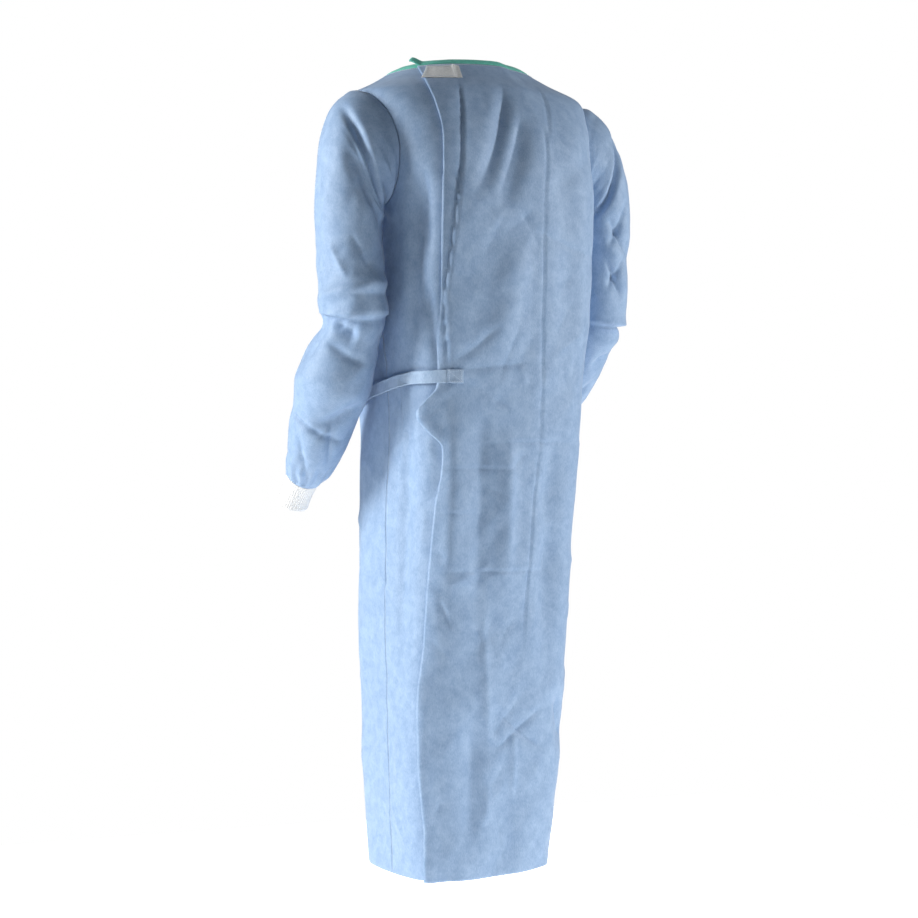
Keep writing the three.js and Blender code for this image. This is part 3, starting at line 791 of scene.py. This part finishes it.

# %% [markdown]
# Stitches repeat along a line, so Geometry Nodes set them: the tree resamples a path, puts one
# short thread at each point, turns it along the path and makes them real. The same tree does the
# box on the tie, the edge of the tab and the tape, with its sizes as inputs.

# %% Stitches
def stitch_tree():
    tree = bpy.data.node_groups.new("stitch_line", "GeometryNodeTree")
    io = tree.interface
    io.new_socket("Geometry", in_out="INPUT", socket_type="NodeSocketGeometry")
    for name, value in (("Spacing", 0.004), ("Thread radius", 0.00025), ("Stitch length", 0.0026)):
        io.new_socket(name, in_out="INPUT", socket_type="NodeSocketFloat").default_value = value
    io.new_socket("Material", in_out="INPUT", socket_type="NodeSocketMaterial")
    io.new_socket("Geometry", in_out="OUTPUT", socket_type="NodeSocketGeometry")
    n, link = tree.nodes, tree.links.new
    inputs, outputs = n.new("NodeGroupInput"), n.new("NodeGroupOutput")
    path = n.new("GeometryNodeMeshToCurve")
    points = n.new("GeometryNodeCurveToPoints")
    points.mode = "LENGTH"
    thread = n.new("GeometryNodeMeshCylinder")
    thread.inputs["Vertices"].default_value = 6
    place = n.new("GeometryNodeInstanceOnPoints")
    real, paint = n.new("GeometryNodeRealizeInstances"), n.new("GeometryNodeSetMaterial")
    link(inputs.outputs["Geometry"], path.inputs["Mesh"])
    link(path.outputs["Curve"], points.inputs["Curve"])
    link(inputs.outputs["Spacing"], points.inputs["Length"])
    link(inputs.outputs["Thread radius"], thread.inputs["Radius"])
    link(inputs.outputs["Stitch length"], thread.inputs["Depth"])
    link(points.outputs["Points"], place.inputs["Points"])
    link(points.outputs["Rotation"], place.inputs["Rotation"])
    link(thread.outputs["Mesh"], place.inputs["Instance"])
    link(place.outputs["Instances"], real.inputs["Geometry"])
    link(real.outputs["Geometry"], paint.inputs["Geometry"])
    link(inputs.outputs["Material"], paint.inputs["Material"])
    link(paint.outputs["Geometry"], outputs.inputs["Geometry"])
    return tree


def sewn(name, paths, tree, values, slot):
    vertices, edges = [], []
    for path in paths:
        first = len(vertices)
        vertices += [tuple(p) for p in path * MM]
        edges += [(first + k, first + k + 1) for k in range(len(path) - 1)]
    mesh = bpy.data.meshes.new(name + "_path")
    mesh.from_pydata(vertices, edges, [])
    source = bpy.data.objects.new(name + "_path", mesh)
    bpy.context.collection.objects.link(source)
    modifier = source.modifiers.new("stitches", "NODES")
    modifier.node_group = tree
    for item in tree.interface.items_tree:
        if item.in_out == "INPUT" and item.name in values:
            modifier[item.identifier] = values[item.name]
    graph = bpy.context.evaluated_depsgraph_get()
    made = bpy.data.meshes.new_from_object(source.evaluated_get(graph))
    bpy.data.objects.remove(source)
    made.name = name
    return piece(name, made, THREAD, slot)


def outline(angle0, angle1, level0, level1, out):
    corners = [(angle0, level0), (angle1, level0), (angle1, level1), (angle0, level1), (angle0, level0)]
    steps = [np.linspace(a, b, 24)[:-1] for a, b in zip(corners, corners[1:])]
    turns = np.concatenate(steps + [np.array([corners[0]])])
    return body_point(turns[:, 1], turns[:, 0], out)


turns = np.linspace(UNDER_EDGE, free_edge(np.array([NECK]))[0] - 359, 500)
tape_line = body_point(NECK - 2.0, turns, 0.25 + np.where(turns < -180, lap_rise(turns + 360), 0))
BOX_START, BOX_END, BOX_TOP, BOX_BOTTOM, BOX_OUT = 49.6, 55.1, BELT + 8, BELT - 8, OVER_RIGHT + 0.75
box = outline(BOX_START, BOX_END, BOX_TOP, BOX_BOTTOM, BOX_OUT)
cross = body_point(np.linspace(BOX_TOP, BOX_BOTTOM, 20), np.linspace(BOX_START, BOX_END, 20), BOX_OUT)
tab_box = outline(TAB_START + 1.2, TAB_START + 21, TAB_TOP - 2.5, TAB_BOTTOM + 2.5, LAP + 2.0)
STITCH = stitch_tree()
sizes = {"Spacing": 0.0036, "Thread radius": 0.00028, "Stitch length": 0.0025, "Material": THREAD}
sewn("tie_box_stitches", [box, cross], STITCH, sizes, "tie_cloth")
sewn("tab_stitches", [tab_box], STITCH, sizes, "closure_tab")
sewn("binding_stitches", [tape_line], STITCH, sizes, "neck_binding")

# %% [markdown]
# The studio is plain: a pale floor below the hem, a white surround, one large soft light from
# the wearer's left, a weaker one from the right as a rim, and very little from above the camera,
# so that the back of the gown stays a shade darker than its sides and the folds read.

# %% Floor and surround
FLOOR, FLOOR_REACH = cad_box[0][2] - 0.16, 1.7
floor_mesh = bpy.data.meshes.new("studio_floor")
floor_corners = [(x * FLOOR_REACH, y * FLOOR_REACH, FLOOR) for x, y in ((-1, -1), (1, -1), (1, 1), (-1, 1))]
floor_mesh.from_pydata(floor_corners, [], [(0, 1, 2, 3)])
floor = bpy.data.objects.new("studio_floor", floor_mesh)
bpy.context.collection.objects.link(floor)
pale = bpy.data.materials.new("studio_white")
pale.use_nodes = True
finish = pale.node_tree.nodes["Principled BSDF"].inputs
finish["Base Color"].default_value = (0.9, 0.9, 0.9, 1)
finish["Emission Color"].default_value = (1, 1, 1, 1)
finish["Emission Strength"].default_value = 1.05
floor_mesh.materials.append(pale)

world = bpy.data.worlds.new("studio")
bpy.context.scene.world = world
world.use_nodes = True
nodes, link = world.node_tree.nodes, world.node_tree.links.new
seen = nodes["Background"]
seen.inputs["Color"].default_value = (1, 1, 1, 1)
seen.inputs["Strength"].default_value = 1.0
fill = nodes.new("ShaderNodeBackground")
fill.inputs["Color"].default_value = (0.93, 0.96, 1, 1)
fill.inputs["Strength"].default_value = 0.1
pick, ray = nodes.new("ShaderNodeMixShader"), nodes.new("ShaderNodeLightPath")
link(ray.outputs["Is Camera Ray"], pick.inputs["Fac"])
link(fill.outputs["Background"], pick.inputs[1])
link(seen.outputs["Background"], pick.inputs[2])
link(pick.outputs["Shader"], nodes["World Output"].inputs["Surface"])
bpy.context.scene.view_settings.view_transform = "Standard"

# %% [markdown]
# The camera stands level with the middle of the gown, behind the wearer and to the left, far off
# with a long lens, so upright lines stay upright.

# %% Lights and camera
TURN = math.radians(30)  # the camera is this far round from straight behind
TO_CAMERA = Vector((math.sin(TURN), math.cos(TURN), 0))
TO_LEFT = Vector((math.cos(TURN), -math.sin(TURN), 0))
AIM = Vector((0.0154, -0.0089, -0.638))


def area_light(name, place, power, width, height, colour=(1, 1, 1)):
    data = bpy.data.lights.new(name, "AREA")
    data.shape, data.size, data.size_y = "RECTANGLE", width, height
    data.energy, data.color = power, colour
    lamp = bpy.data.objects.new(name, data)
    bpy.context.collection.objects.link(lamp)
    lamp.location = place
    lamp.rotation_euler = (AIM - place).to_track_quat("-Z", "Y").to_euler()


area_light("key_from_left", AIM + TO_LEFT * 2.6 + TO_CAMERA * 0.35 + Vector((0, 0, 0.9)), 88, 0.8, 1.5)
area_light("rim_from_right", AIM - TO_LEFT * 2.6 + TO_CAMERA * 0.1 + Vector((0, 0, 0.7)), 46, 0.7, 1.5)
area_light("soft_from_camera", AIM + TO_CAMERA * 4.0 + Vector((0, 0, 2.2)), 14, 0.9, 0.9)

DISTANCE, SENSOR, LENS = 4.5, 36.0, 108.9
camera = bpy.data.objects.new("camera", bpy.data.cameras.new("camera"))
camera.data.sensor_width, camera.data.lens = SENSOR, LENS
camera.location = AIM + TO_CAMERA * DISTANCE
camera.rotation_euler = (-TO_CAMERA).to_track_quat("-Z", "Y").to_euler()
bpy.context.collection.objects.link(camera)
bpy.context.scene.camera = camera
